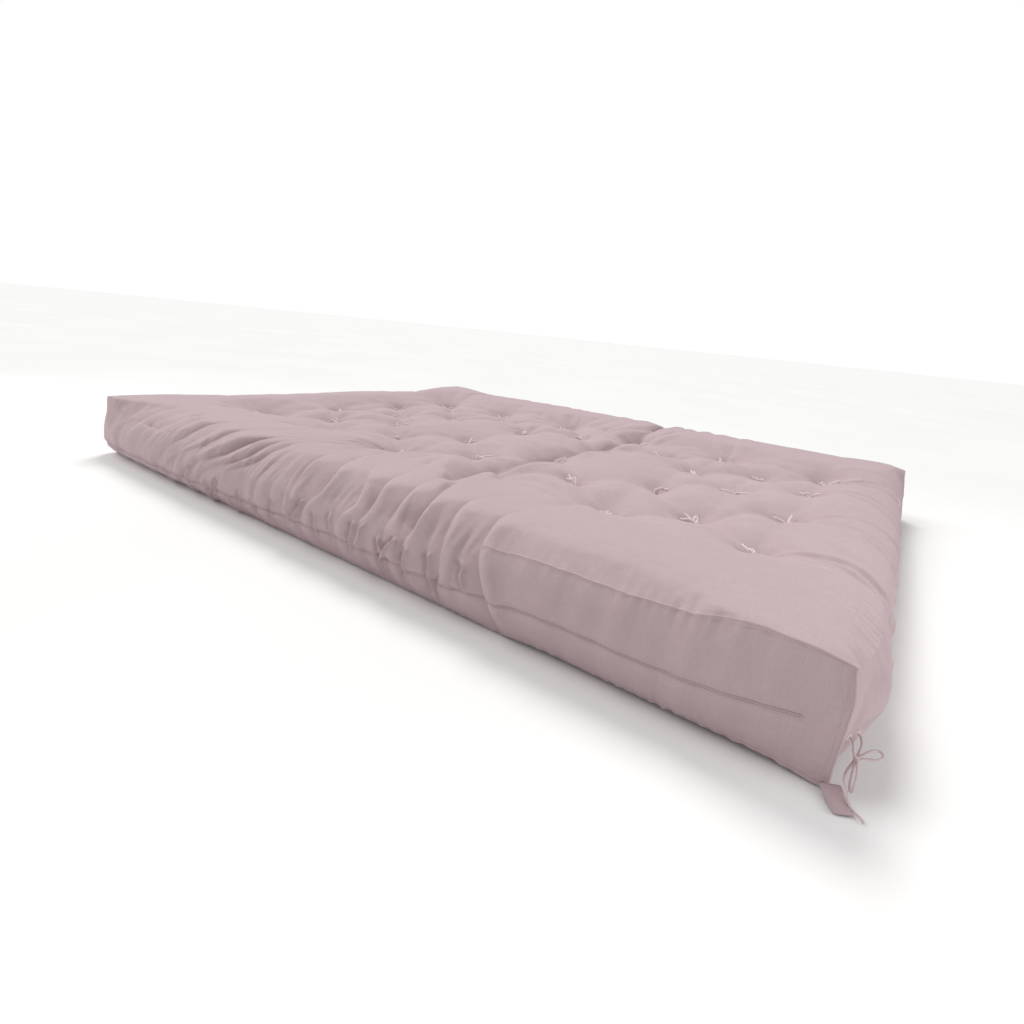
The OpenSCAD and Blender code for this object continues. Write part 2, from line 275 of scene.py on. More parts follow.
def puffed(flat):
    """The filled case: crowned borders, tufted pillows, rolled sides, one crease."""
    z = Zones(flat)
    place = flat.copy()
    round_y, round_x = edge_roundness(z)
    hull_y = TUFTS[:, 1].max()
    hull = np.where(z.x > 0, TUFTS[:, 0].max(), -TUFTS[:, 0].min())
    out_y = np.clip((np.abs(z.y) - hull_y) / (HALF_W - hull_y), 0, 1)
    out_x = np.clip((np.abs(z.x) - hull) / (HALF_L - hull), 0, 1)
    crown_y = np.where(z.front, 0.015 * np.sin(np.pi * out_y**1.25),
                       0.029 * from_start(out_y, 0.78) - 0.012 * ramp(-0.30, 0.05, z.y - hull_y))
    crown_x = np.where(z.x > 0, 0.011 * np.sin(np.pi * out_x**0.9),
                       0.026 * from_start(out_x, 0.85) - 0.010 * ramp(-0.30, 0.05, -z.x - hull))
    level = LEVEL + (crown_y + crown_x) * (1 - 0.35 * np.minimum(out_x, out_y))
    at_front = np.exp(-z.in_y / 0.15) * z.front
    lift = at_front * (0.015 * ramp(0.70, 1.0, z.x) + 0.028 * ramp(-0.88, -1.0, z.x))
    level = level + lift
    drop = np.where(z.front, 1 - 0.60 * ramp(0.42, 0.60, z.x), 1)
    fall = drop * round_y * np.interp(z.in_y, BORDER_IN, BORDER_DROP)
    fall = np.maximum(fall, round_x * np.interp(z.in_x, BORDER_IN, BORDER_DROP))
    crisp = np.where(z.in_x < z.in_y, 1 - round_x, 1 - round_y)
    seam = 0.004 * crisp * np.exp(-np.minimum(z.in_x, z.in_y) / 0.02)
    lumpy = 0.004 * lumps(flat, 9, 0.5) * ramp(0, 0.12, np.minimum(z.in_x, z.in_y))
    height = level + pillow_field(flat) - fall - seam + lumpy

    s = z.x - crease_line(z.y)
    fold = -0.030 * np.exp(-np.abs(s) / 0.012) - 0.006 * hump(s, 0, 0.07)
    fold += 0.012 * hump(s, 0.045, 0.030) + 0.005 * hump(s, -0.06, 0.04)
    away = np.where(z.front, 0.10 + 0.90 * ramp(0.06, 0.30, z.in_y), 1)
    place[z.top, 2] = (height + fold * away)[z.top]
    rise = 0.011 * (1 - ramp(0, 0.06, tuft_distance(flat).min(axis=1)))
    place[z.bottom, 2] += rise[z.bottom]

    # The walls: a bowed panel at a crisp seam, and a full roll elsewhere
    sign_x, sign_y = np.sign(z.x), np.sign(z.y)
    near_x, near_y = ramp(0, 0.14, z.in_x), ramp(0, 0.14, z.in_y)
    belly = np.sin(np.pi * z.up) ** 0.75
    low_belly = np.sin(np.pi * z.up**0.75) ** 0.85
    bowed_y = low_belly * np.where(z.front, 0.025, 0.017) * (0.25 + 0.75 * near_x)
    bowed_x = belly * 0.026 * (0.45 + 0.55 * near_y)
    rolled = np.interp(z.up, WALL_UP, WALL_OUT)
    fuller = np.where(z.front, 1.15 + 0.25 * ramp(-0.2, -0.75, z.x), 0.9)
    out_from_y = bowed_y + (rolled * fuller - bowed_y) * round_y
    out_from_x = bowed_x + (rolled * HEAD_FULLER - bowed_x) * round_x
    bulge = np.interp(z.y, END_Y, END_OUT)
    out_from_x = np.where(z.x > 0, bulge * np.interp(z.up, WALL_UP, END_SHAPE), out_from_x)
    wall = ~z.top & ~z.bottom
    corner = z.side_x & z.side_y
    place[:, 1] += sign_y * (wall & z.side_y) * out_from_y * np.where(corner, 0.3, 1)
    place[:, 0] += sign_x * (wall & z.side_x) * out_from_x * np.where(corner, 0.3, 1)
    share = np.where(z.top, WALL_OUT[-1], np.where(z.bottom, WALL_OUT[0], 0))
    place[:, 1] += sign_y * share * round_y * fuller * np.exp(-z.in_y / 0.03)
    head_share = -share * round_x * HEAD_FULLER * np.exp(-z.in_x / 0.03)
    place[:, 0] += np.where(z.x < 0, head_share, 0)
    rim = np.where(z.top, END_SHAPE[-1], np.where(z.bottom, END_SHAPE[0], 0))
    place[:, 0] += np.where(z.x > 0, rim * bulge * np.exp(-z.in_x / 0.05), 0)
    place[:, 0] += 0.007 * ramp(1.0, 0.55, z.up) * (corner & z.front & (z.x > 0))
    seam_up = np.interp(z.x, STRIP_X, STRIP_Z) / THICK
    raised = z.up + (seam_up - SEAM_Z / THICK) * np.interp(z.z, (0, SEAM_Z, THICK), (0, 1, 0))
    up = np.where(z.front & z.side_y, raised, z.up)
    rim_z = LEVEL - 0.004 + lift
    rolled_z = np.interp(up, WALL_UP, WALL_Z) * (LEVEL - drop * BORDER_DROP[0]) / WALL_Z[-1]
    up_y = up * rim_z * (1 - round_y) + rolled_z * round_y
    up_x = up * rim_z * (1 - round_x) + np.interp(up, WALL_UP, WALL_Z) * round_x
    place[wall, 2] = np.where(z.side_y, up_y, up_x)[wall]
    # The lower edge of the front lifts a little off the floor towards the near corner
    tuck = 0.007 * ramp(0.50, 0.62, z.x) * ramp(1.0, 0.93, z.x) * z.front
    place[:, 2] += tuck * np.exp(-z.in_y / 0.03) * (1 - z.up) ** 2 * ~z.top

    # The crease also notches the long sides
    notch = np.where(z.front, 0.2, 1) * (
        0.012 * np.exp(-np.abs(s) / 0.014) - 0.005 * hump(s, 0.05, 0.03)
    )
    place[:, 1] -= sign_y * (z.side_y & ~z.bottom) * notch * z.up**0.6
    return place


def add(name, data):
    thing = bpy.data.objects.new(name, data)
    bpy.context.scene.collection.objects.link(thing)
    return thing


def relax_cloth(flat, place, faces):
    """Lets the cover settle over its filling as cloth with a few per cent of fullness.

    Each point is held softly to the puffed shape, so the spare cloth buckles into
    small wrinkles between the tufts and along the borders."""
    z = Zones(flat)
    edge = np.minimum(z.in_x, z.in_y)
    near = tuft_distance(flat).min(axis=1)
    inside = np.clip(edge / 0.05, 0, 1)

    start = place.copy()
    ripple = wave(z.x, 11, 12, 6, 22) * (0.3 + 0.7 * ramp(-0.40, -0.60, z.y))
    start[:, 2] += z.top * inside * (0.0015 * ripple + 0.0010 * lumps(flat, 12, 0.09))
    front_wall = z.side_y & z.front & ~z.bottom
    start[:, 1] -= front_wall * 0.0025 * wave(z.x, 11, 12, 6, 22)

    cut = place * FULLNESS
    mesh = bpy.data.meshes.new("case_sim")
    mesh.from_pydata(start.tolist(), [], faces.tolist())
    case = add("case_sim", mesh)
    case.shape_key_add(name="Basis")
    key = case.shape_key_add(name="cut")
    key.data.foreach_set("co", cut.ravel())
    key.value = 0

    hold = np.full(len(flat), 0.10)
    hold[front_wall] = 0.06
    hold[z.bottom] = np.where(edge[z.bottom] < 0.03, 0.4, 1.0)
    hold[z.top & (near < 0.8 * CELL)] = 1.0
    group = case.vertex_groups.new(name="hold")
    for value in np.unique(hold):
        group.add(np.nonzero(hold == value)[0].tolist(), float(value), "REPLACE")

    cloth = case.modifiers.new("cloth", "CLOTH")
    s = cloth.settings
    s.quality, s.mass, s.air_damping = 6, 0.3, 3
    s.tension_stiffness = s.compression_stiffness = 25
    s.shear_stiffness, s.bending_stiffness = 8, 0.15
    s.tension_damping = s.compression_damping = s.shear_damping = 5
    s.bending_damping = 0.5
    s.use_pressure, s.uniform_pressure_force = True, 1.0
    s.vertex_group_mass, s.pin_stiffness = "hold", 1.0
    s.rest_shape_key = key
    s.effector_weights.gravity = 0
    cloth.collision_settings.use_collision = False
    cloth.collision_settings.use_self_collision = False
    for step in range(1, FRAMES + 1):
        bpy.context.scene.frame_set(step)
    settled = bpy.data.meshes.new_from_object(
        case.evaluated_get(bpy.context.evaluated_depsgraph_get())
    )
    moved = mesh_points(settled)
    bpy.data.objects.remove(case)
    bpy.context.scene.frame_set(1)
    shift = moved - place
    far = np.linalg.norm(shift, axis=1)
    return place + shift * np.minimum(1, MOST_MOVED / np.maximum(far, 1e-9))[:, None]


def mesh_points(mesh):
    points = np.empty(len(mesh.vertices) * 3)
    mesh.vertices.foreach_get("co", points)
    return points.reshape(-1, 3)


def mesh_normals(points, faces):
    a, b, c, d = (points[faces[:, k]] for k in range(4))
    across = np.cross(c - a, d - b)
    normals = np.zeros_like(points)
    for k in range(4):
        np.add.at(normals, faces[:, k], across)
    return unit(normals)


def spline_weights(coarse, fine):
    """Cubic B-spline weights from evenly spaced places to finer ones; the ends stay."""
    count = len(coarse)
    t = (fine - coarse[0]) / (coarse[1] - coarse[0])
    cell = np.clip(np.floor(t + 1e-9).astype(int), 0, count - 2)
    f = t - cell
    shares = (
        (1 - f) ** 3 / 6,
        (3 * f**3 - 6 * f**2 + 4) / 6,
        (-3 * f**3 + 3 * f**2 + 3 * f + 1) / 6,
        f**3 / 6,
    )
    w = np.zeros((len(fine), count + 2))
    for k, share in enumerate(shares):
        w[np.arange(len(fine)), cell + k] += share
    w[:, 1] += 2 * w[:, 0]
    w[:, 2] -= w[:, 0]
    w[:, count] += 2 * w[:, count + 1]
    w[:, count - 1] -= w[:, count + 1]
    return w[:, 1 : count + 1]


def refine(place, coarse, fine):
    """Carries the points of the coarse box to the fine one, smoothly within each panel."""
    weights = [spline_weights(c, f) for c, f in zip(coarse[:3], fine[:3])]
    out = np.zeros((len(fine[3]), 3))
    for panel, (a, b, _) in enumerate(PANELS):
        grid = place[coarse[4][panel]]
        out[fine[4][panel]] = np.einsum("ai,ijk,bj->abk", weights[a], grid, weights[b],
                                        optimize=True)
    return out


# ---------------------------------------------------------------- folds in the cover
# Folds are lines over the border and down the long side: places along X at distances
# from the top seam, inwards as positive and down the side as negative.
FOLD_AT = (0.36, 0.22, 0.10, 0.0, -0.06, -0.16)
# The main ones run out from the tufts, in mm: depth, width, and places along X at FOLD_AT
MAIN_FOLDS = mm(
    (12, 13, 505, 482, 460, 455, 475, 530),
    (11, 11, 490, 400, 359, 385, 395, 405),
    (20, 12, 195, 245, 285, 310, 312, 328),
    (9, 11, 200, 215, 225, 250, 262, 285),
    (12, 12, 60, 125, 165, 195, 176, 176),
    (8, 12, 40, 55, 85, 155, 120, 148),
    (13, 13, -40, -15, 5, 52, 22, 5),
    (9, 12, -110, -90, -70, -40, -25, -40),
    (6, -11, -115, -145, -205, -200, -300, -375),
    (9, -15, -120, -175, -235, -240, -370, -480),
    (11, -17, -130, -200, -275, -315, -440, -570),
    (4, -10, -280, -330, -385, -420, -520, -640),
    (6, -18, -425, -450, -490, -530, -590, -680),
    (4, 20, -580, -600, -630, -660, -700, -740),
    (4, 19, -735, -750, -770, -790, -810, -840),
)
# Short ones gather the side: place, depth, width, reach over the border, and lean. One is
# 0 deep, and only keeps the others' random draws as they are.
SHORT_FOLDS = mm(
    (-930, 2, 12, 20, -20), (-720, 4, 11, 30, -30), (-620, 5, 10, 40, -40),
    (-475, 6, 9, 30, -50), (-360, 6, 9, 50, -40), (-270, 7, 9, 40, -40), (-155, 8, 9, 60, -5),
    (-105, 7, 8, 80, 10), (-65, 6, 7, 20, 10), (80, 2, 8, 50, 10), (112, 0, 7, 20, -10),
    (218, 1, 8, 40, 10), (280, 6, 7, 80, 20), (355, 8, 8, 50, 15), (425, 8, 8, 30, 10),
    (500, 3, 8, 0, 20),
)
# Pinches are fine and sharp: X and height at the top, X and height at the foot, depth
PINCHES = mm(
    (-577, 60, -586, 0, 4.5), (-442, 95, -481, 0, 5), (-367, 70, -382, 0, 6),
    (-320, 85, -360, 20, 4.5), (-272, 55, -275, 0, 5), (-225, 75, -235, 20, 3),
    (-170, 65, -161, 20, 5.5), (-90, 85, -105, 30, 3.5), (-23, 110, -34, 45, 5),
    (10, 115, -9, 62, 4.5), (59, 95, 63, 20, 4), (100, 112, 116, 30, 3),
    (173, 110, 173, 30, 6.5), (200, 118, 192, 60, 3.5), (215, 70, 222, 20, 1.5),
    (246, 100, 256, 20, 4.5), (288, 115, 253, 52, 5.5), (319, 100, 322, 35, 6.5),
    (370, 110, 385, 30, 5), (405, 70, 400, 20, 4), (440, 120, 455, 60, 4.5),
)


def fold_shape(off, width):
    """A fold across its line: a slow fall, a sharp valley and a full ridge beyond."""
    u = off / width
    valley = np.exp(-np.abs(u) * np.where(u < 0, 0.75, 2.2))
    return 0.80 * np.exp(-(((u - 1.7) / 1.4) ** 2)) - valley


FINE_DOWN = np.linspace(-FOLD_AT[0], -FOLD_AT[-1], 105)


def smooth_line(places):
    """A fold's places along X at FINE_DOWN, with its corners rounded."""
    line = np.interp(FINE_DOWN, -np.array(FOLD_AT), places)
    for _ in range(60):
        line[1:-1] = (line[:-2] + 2 * line[1:-1] + line[2:]) / 4
    return line


def pleats(z, side):
    """Outward height of the folds of one long side: -1 is the front, 1 the back."""
    mine = (np.sign(z.y) == side) & (z.in_y < 0.42) & ~z.bottom
    x = z.x[mine]
    inward = np.where(z.side_y & ~z.top, z.z - THICK, z.in_y)[mine]
    r = np.random.default_rng(21 + side)
    total = np.zeros(len(x))
    for number, (depth, width, *places) in enumerate(MAIN_FOLDS):
        low_share = 0.30 if number else 1.0  # the first stays deep down the side
        if side > 0:
            places, depth = np.array(places) * 0.98 + 0.02, depth * 0.6
        wobble = 0.005 * np.sin(inward * r.uniform(20, 34) + r.uniform(0, 6.28))
        line = np.interp(-inward, FINE_DOWN, smooth_line(places))
        line += wobble * ramp(0.36, 0.25, inward)
        size = ramp(0.40, 0.30, inward) * (0.5 + 0.5 * ramp(0.34, 0.10, inward))
        size = size * ramp(-0.172, -0.11, inward)
        size = size * (low_share + (1 - low_share) * ramp(-0.05, 0.02, inward))
        spread = width * (1 + 0.45 * ramp(0.02, 0.20, inward))
        total += depth * size * fold_shape((x - line) * np.sign(width), np.abs(spread))
    for place, depth, width, reach, lean in SHORT_FOLDS:
        if side > 0:
            place, depth = -place * 0.9 - 0.06, depth * 0.6
        wobble = 0.004 * np.sin(inward * r.uniform(25, 45) + r.uniform(0, 6.28))
        line = place + lean * (-inward) / 0.08 + wobble
        low = r.uniform(-0.15, -0.09)
        size = ramp(reach + 0.05, reach - 0.03, inward) * ramp(low - 0.03, low + 0.03, inward)
        turned = r.choice((1, 1, -1))
        total += 0.28 * depth * size * fold_shape((x - line) * turned, width)
    down = z.z[mine]
    for x_top, z_top, x_foot, z_foot, depth in PINCHES if side < 0 else ():
        along = (z_top - down) / (z_top - z_foot)
        line = x_top + (x_foot - x_top) * along + 0.002 * np.sin(down * 150 + x_top * 40)
        size = ramp(-0.10, 0.15, along) * ramp(1.25, 0.85, along) * (z.side_y & ~z.top)[mine]
        u = (x - line) / 0.0046
        total += depth * size * 1.35 * (np.exp(-np.abs(u - 1.1) ** 1.4)
                                        - np.exp(-np.abs(u + 1.1) ** 1.4))
    fade = 1 - 0.97 * ramp(0.53, 0.59, x) if side < 0 else np.full(len(x), 1.0)
    out = np.zeros(len(z.x))
    out[mine] = total * fade
    return out


def puckers(z):
    """Fine gathers that fan out from each tuft, in the top panel."""
    out = np.zeros(len(z.x))
    r = np.random.default_rng(33)
    for tx, ty in TUFTS:
        near = z.top & (np.abs(z.x - tx) < 0.16) & (np.abs(z.y - ty) < 0.16)
        dx, dy = z.x[near] - tx, z.y[near] - ty
        away = np.hypot(dx, dy)
        total = np.zeros(len(dx))
        angle = r.uniform(0, 6.28)
        for _ in range(9):
            angle += r.uniform(0.45, 0.95)
            a = angle + 0.35 * np.sin(away * r.uniform(18, 30))
            along = dx * np.cos(a) + dy * np.sin(a)
            across = -dx * np.sin(a) + dy * np.cos(a)
            wide = 0.0045 + 0.10 * np.maximum(along, 0)
            length = r.uniform(0.030, 0.075)
            strength = r.uniform(0.0015, 0.0042) * r.choice((1, 1, -1))
            fade = ramp(0.004, 0.020, along) * np.exp(-((along / length) ** 2))
            total += strength * fade * np.exp(-((across / wide) ** 2))
        out[near] += total
    return out


def drag_lines(z):
    """Long fine creases that run from the last tufts over the foot end's border."""
    out = np.zeros(len(z.x))
    mine = (z.x > 0.78) & (z.top | (z.side_x & ~z.bottom))
    run = (z.x + np.where(z.side_x & ~z.top, THICK - z.z, 0))[mine]
    r = np.random.default_rng(61)
    total = np.zeros(len(run))
    for tx, ty in TUFTS[TUFTS[:, 0] > 0.7]:
        for _ in range(4):
            y_end, bend = ty + r.uniform(-0.13, 0.10), r.uniform(-0.02, 0.02)
            t = (run - tx) / 0.30
            line = ty + (y_end - ty) * t + bend * np.sin(np.pi * np.clip(t, 0, 1))
            size = ramp(0.06, 0.25, t) * ramp(r.uniform(0.8, 1.3), 0.5, t)
            u = (z.y[mine] - line) / 0.008
            total += r.uniform(0.0018, 0.0032) * size * (0.8 * hump(u, 1.6, 1.2)
                                                         - np.exp(-np.abs(u) ** 1.4))
    out[mine] = total
    return out


def seam_gathers(z):
    """Short puckers across the seams round the top and bottom edges."""
    run_x = wave(z.x, 41, 16, 18, 60)
    run_y = wave(z.y, 42, 16, 18, 60)
    close_y = np.where(z.side_y, np.minimum(THICK - z.z, z.z), z.in_y)
    close_x = np.where(z.side_x, np.minimum(THICK - z.z, z.z), z.in_x)
    along_x = np.where(z.side_x & ~z.side_y, 0, np.exp(-close_y / 0.022) * run_x)
    along_y = np.where(z.side_y & ~z.side_x, 0, np.exp(-close_x / 0.022) * run_y)
    return 0.0011 * (along_x + along_y)


def seam_grooves(z):
    """The cloth dips at the strip seam and swells on both sides of it."""
    mine = z.side_y & z.front & ~z.top & ~z.bottom & (z.x < SEAM_END_X)
    off = np.abs(z.z - SEAM_Z)
    return mine * (0.0014 * hump(off, 0.012, 0.008) - 0.0030 * np.exp(-off / 0.004))


def end_pulls(z):
    """The foot end's cloth is drawn into a short crease by the tie's two eyelets."""
    out = np.zeros(len(z.x))
    mine = z.foot_wall
    p = np.c_[z.y[mine], z.z[mine]]
    total = np.zeros(len(p))
    for a, b, depth, width in (
        ((-0.775, 0.063), (-0.765, 0.135), 0.0030, 0.006),
        ((-0.757, 0.061), (-0.70, 0.080), 0.0050, 0.005),
        ((-0.775, 0.063), (-0.757, 0.061), 0.0035, 0.007),
        ((-0.762, 0.060), (-0.775, 0.020), 0.0025, 0.009),
        ((-0.752, 0.063), (-0.66, 0.050), 0.0030, 0.009),
    ):
        off, along = to_segment(p, np.array(a), np.array(b))
        total -= depth * (1 - 0.8 * along) * np.exp(-((off / width) ** 2))
    r = np.random.default_rng(8)
    for _ in range(16):
        y, low, high = r.uniform(-0.70, 0.75), r.uniform(0.0, 0.05), r.uniform(0.09, 0.16)
        lean, size = r.uniform(-0.4, 0.4), r.uniform(0.0015, 0.0045)
        off = p[:, 0] - y - lean * (p[:, 1] - 0.08)
        fade = ramp(low, low + 0.04, p[:, 1]) * ramp(high, high - 0.03, p[:, 1])
        total += size * fade * (hump(off, 0.014, 0.014) - hump(off, -0.004, 0.010))
    out[mine] = total
    return out


def evenly(half, count):
    return np.linspace(-half, half, count)


def places(half, *stretches):
    """Places from -half to half, in stretches of (start, end, count) as shares of half."""
    parts = [np.linspace(*stretch)[:-1] for stretch in stretches]
    return np.append(np.concatenate(parts), 1.0) * half


def box_grid(xs, ys, nz):
    zs = np.linspace(0, THICK, nz + 1)
    return (xs, ys, zs, *sewn_box(xs, ys, zs))


def flatten_at_eyelets(z, place):
    """The eyelets' reinforced cloth stays where the cord goes through it."""
    mine = z.foot_wall
    for x, y, height in EYELETS:
        away = np.hypot(place[mine, 1] - y, place[mine, 2] - height)
        pull = ramp(0.016, 0.0065, away)
        target = x + EYELET_LEAN * (place[mine, 1] - y)
        place[mine, 0] += (target - place[mine, 0]) * pull


def make_case():
    coarse = box_grid(evenly(HALF_L, COARSE_X), evenly(HALF_W, COARSE_Y), 13)
    fine = box_grid(places(HALF_L, (-1, -0.66, 86), (-0.66, 0.54, 546), (0.54, 1, 140)),
                    places(HALF_W, (-1, -0.5, 131), (-0.5, 1, 172)), 49)
    flat, ids = coarse[3:]
    place = puffed(flat)
    place = relax_cloth(flat, place, np.concatenate([grid_faces(g) for g in ids]))
    inner = (place, ids)
    place = refine(place, coarse, fine)
    flat, ids = fine[3:]
    faces = np.concatenate([grid_faces(g) for g in ids])
    normals = mesh_normals(place, faces)
    z = Zones(flat)
    out = pleats(z, -1) + pleats(z, 1) + puckers(z)
    out += seam_gathers(z) + end_pulls(z) + seam_grooves(z) + drag_lines(z)
    place += normals * out[:, None]
    over = np.maximum(place[:, 2] - (HIGHEST - HEIGHT_EASE), 0)
    place[:, 2] -= over - HEIGHT_EASE * (1 - np.exp(-over / HEIGHT_EASE))
    place[:, 2] = np.maximum(place[:, 2], 0.0)
    flatten_at_eyelets(z, place)
    return flat, place, ids, fine[:3], inner, faces


# ---------------------------------------------------------------- pieces from numbers
def new_mesh(name, points, faces, uv=None):
    """faces is a list of arrays, one for each number of corners."""
    mesh = bpy.data.meshes.new(name)
    points = np.asarray(points, float)
    mesh.vertices.add(len(points))
    mesh.vertices.foreach_set("co", points.ravel())
    sizes = np.concatenate([np.full(len(f), f.shape[1]) for f in faces])
    corners = np.concatenate([f.ravel() for f in faces])
    mesh.loops.add(len(corners))
    mesh.loops.foreach_set("vertex_index", corners.astype(np.int32))
    mesh.polygons.add(len(sizes))
    starts = np.concatenate(([0], np.cumsum(sizes)[:-1]))
    mesh.polygons.foreach_set("loop_start", starts.astype(np.int32))
    mesh.polygons.foreach_set("use_smooth", np.full(len(sizes), True))
    if uv is not None:
        layer = mesh.uv_layers.new(name="UVMap")
        layer.data.foreach_set("uv", np.asarray(uv)[corners].ravel())
    mesh.update(calc_edges=True)
    mesh.validate()
    return mesh


def piece(name, points, faces, material, slot, uv=None):
    thing = add(name, new_mesh(name, points, faces, uv))
    thing.data.materials.append(material)
    return thing


def smooth_path(points, step):
    """Evenly spaced points on a smooth curve through the given ones."""
    p = np.asarray(points, float)
    p = np.vstack((2 * p[0] - p[1], p, 2 * p[-1] - p[-2]))
    dense = []
    for i in range(1, len(p) - 2):
        a, b, c, d = p[i - 1 : i + 3]
        t = np.linspace(0, 1, 24, endpoint=False)[:, None]
        dense.append(0.5 * (
            2 * b + (c - a) * t + (2 * a - 5 * b + 4 * c - d) * t**2
            + (3 * b - a - 3 * c + d) * t**3
        ))
    dense = np.vstack((*dense, p[-2:-1]))
    run = run_along(dense)
    return sample(np.linspace(0, run[-1], max(3, round(run[-1] / step) + 1)), run, dense)


def frames_along(path):
    """Two unit directions across the path, which don't twist."""
    tangent = unit(np.gradient(path, axis=0))
    helper = np.array([0.0, 0, 1]) if abs(tangent[0, 2]) < 0.9 else np.array([1.0, 0, 0])
    side = np.zeros_like(path)
    side[0] = unit(np.cross(tangent[0], helper))
    for i in range(1, len(path)):
        side[i] = unit(side[i - 1] - tangent[i] * (side[i - 1] @ tangent[i]))
    return side, np.cross(tangent, side)


STRANDS = 3


def twisted_cord(path, diameter, sides=12, pitch=0.009, phase=0.0, frayed=0):
    """(points, [quads, caps]) of a twisted cord that follows path, with rounded ends."""
    side, up = frames_along(path)
    run = run_along(path)
    angle = np.linspace(0, 2 * np.pi, sides, endpoint=False)
    lobes = np.abs(np.cos(STRANDS / 2 * (angle[None] - phase - 2 * np.pi * run[:, None] / pitch)))
    radius = diameter / 2 * (0.84 + 0.17 * lobes)
    ends = np.minimum(run, run[-1] - run)
    closing = np.sqrt(np.clip(1 - (1 - np.clip(ends / (0.4 * diameter), 0, 1)) ** 2, 0.08, 1))
    tip = ramp(run[-1] - 0.006, run[-1], run)
    radius = radius * closing[:, None] * (1 + frayed * tip[:, None])
    ring = side[:, None] * np.cos(angle)[None, :, None] + up[:, None] * np.sin(angle)[None, :, None]
    points = (path[:, None] + ring * radius[:, :, None]).reshape(-1, 3)
    ids = wrapped_ids(len(path), sides)
    return points, [grid_faces(ids)[:, ::-1], np.array([ids[0, :-1], ids[-1, :-1][::-1]])]


def joined(parts):
    """One (points, faces) from several."""
    points, by_size, start = [], {}, 0
    for p, faces in parts:
        points.append(p)
        for f in faces:
            by_size.setdefault(f.shape[1], []).append(f + start)
        start += len(p)
    return np.vstack(points), [np.vstack(f) for f in by_size.values()]


# ---------------------------------------------------------------- node materials
class Nodes:
    """A short way to write a node tree: n(type, socket=value or node output)."""

    def __init__(self, name):
        self.material = bpy.data.materials.new(name)
        self.material.use_nodes = True
        self.tree = self.material.node_tree
        self.bsdf = self.tree.nodes["Principled BSDF"]

    def plug(self, node, values):
        for name, value in values.items():
            socket = node.inputs[int(name[1:])] if name[0] == "_" else node.inputs[name]
            if isinstance(value, bpy.types.NodeSocket):
                self.tree.links.new(value, socket)
            else:
                socket.default_value = value

    def __call__(self, kind, values=None, **properties):
        node = self.tree.nodes.new("ShaderNode" + kind)
        for name, value in properties.items():
            setattr(node, name, value)
        self.plug(node, values or {})
        return node.outputs

    def math(self, operation, *values):
        return self("Math", {f"_{i}": v for i, v in enumerate(values)}, operation=operation)[0]

    def spread(self, value, a, b, c, d):
        """value from a..b carried to c..d, clamped."""
        keys = ("From Min", "From Max", "To Min", "To Max")
        return self("MapRange", {"Value": value, **dict(zip(keys, (a, b, c, d)))})[0]

    def mix(self, by, a, b):
        """Colours a and b mixed by a value and the four numbers that spread it."""
        return self("Mix", {"_0": self.spread(*by), "_6": a, "_7": b}, data_type="RGBA")[2]

    def noise(self, vector, scale, detail=2, **more):
        return self("TexNoise", {"Vector": vector, "Scale": scale, "Detail": detail, **more})[0]

    def bump(self, strength, distance, height):
        return self("Bump", {"Strength": strength, "Distance": distance, "Height": height})[0]

    def finish(self, base, rough, specular, sheen=(0, 0.5), **more):
        """Sets the surface; sheen is its weight and roughness. Gives back the material."""
        self.plug(self.bsdf, {
            "Base Color": base, "Roughness": rough, "Specular IOR Level": specular,
            "Sheen Weight": sheen[0], "Sheen Roughness": sheen[1], **more,
        })
        return self.material


def colour(r, g, b):
    """A colour as it looks on screen, 0 to 255, as the linear one the nodes use."""
    c = np.array([r, g, b]) / 255
    return (*np.where(c < 0.04045, c / 12.92, ((c + 0.055) / 1.055) ** 2.4).tolist(), 1)


def cotton_cover():
    """Plain-woven cotton: soft threads with slubs, faint painted shade in the weave's hollows, and
    a nap.
    """
    n = Nodes("cotton_cover")
    uv = n("UVMap", uv_map="UVMap")[0]
    place = n("TexCoord")[3]
    xyz = n("SeparateXYZ", {"Vector": uv})
    wander = n.noise(uv, 90)
    threads = []
    for axis, other in ((0, 1), (1, 0)):
        shifted = n.math("MULTIPLY_ADD", wander, 0.0006, xyz[axis])
        threads.append(n.math("SINE", n.math("MULTIPLY", shifted, 2 * math.pi / THREAD)))
    weave = n.math("MULTIPLY", threads[0], threads[1])
    long_x = n("Mapping", {"Vector": uv, "Scale": (40, 900, 1)})[0]
    long_y = n("Mapping", {"Vector": uv, "Scale": (900, 40, 1)})[0]
    slubs = n.math("ADD", n.noise(long_x, 1), n.noise(long_y, 1))
    cloudy = n.noise(place, 2.6, 3)
    patchy = n.noise(place, 22, 4, Roughness=0.6)
    crumple = n.noise(place, 38, 3, Roughness=0.55)

    base = n.mix((cloudy, 0.3, 0.7, 0, 1), COVER_DARK, COVER_LIGHT)
    base = n.mix((patchy, 0.35, 0.75, 0, 0.25), base, COVER_PALE)
    base = n.mix((slubs, 0.80, 1.25, 0, 0.30), base, COVER_DEEP_SLUB_AND_SHADE)
    # Painted shade: the weave's low places, where its bump sinks, are mixed towards the deep
    # colour.
    base = n.mix((weave, -1, 1, 0.16, 0), base, COVER_DEEP_SLUB_AND_SHADE)
    height = n.math("MULTIPLY", weave, 0.00011)
    height = n.math("MULTIPLY_ADD", slubs, 0.00030, height)
    height = n.math("MULTIPLY_ADD", crumple, 0.0032, height)
    n.bsdf.inputs["Sheen Tint"].default_value = (0.95, 0.86, 0.88, 1)
    return n.finish(base, n.spread(patchy, 0.2, 0.8, 0.80, 0.93), 0.25, (0.12, 0.45),
                    Normal=n.bump(0.55, 1.0, height))


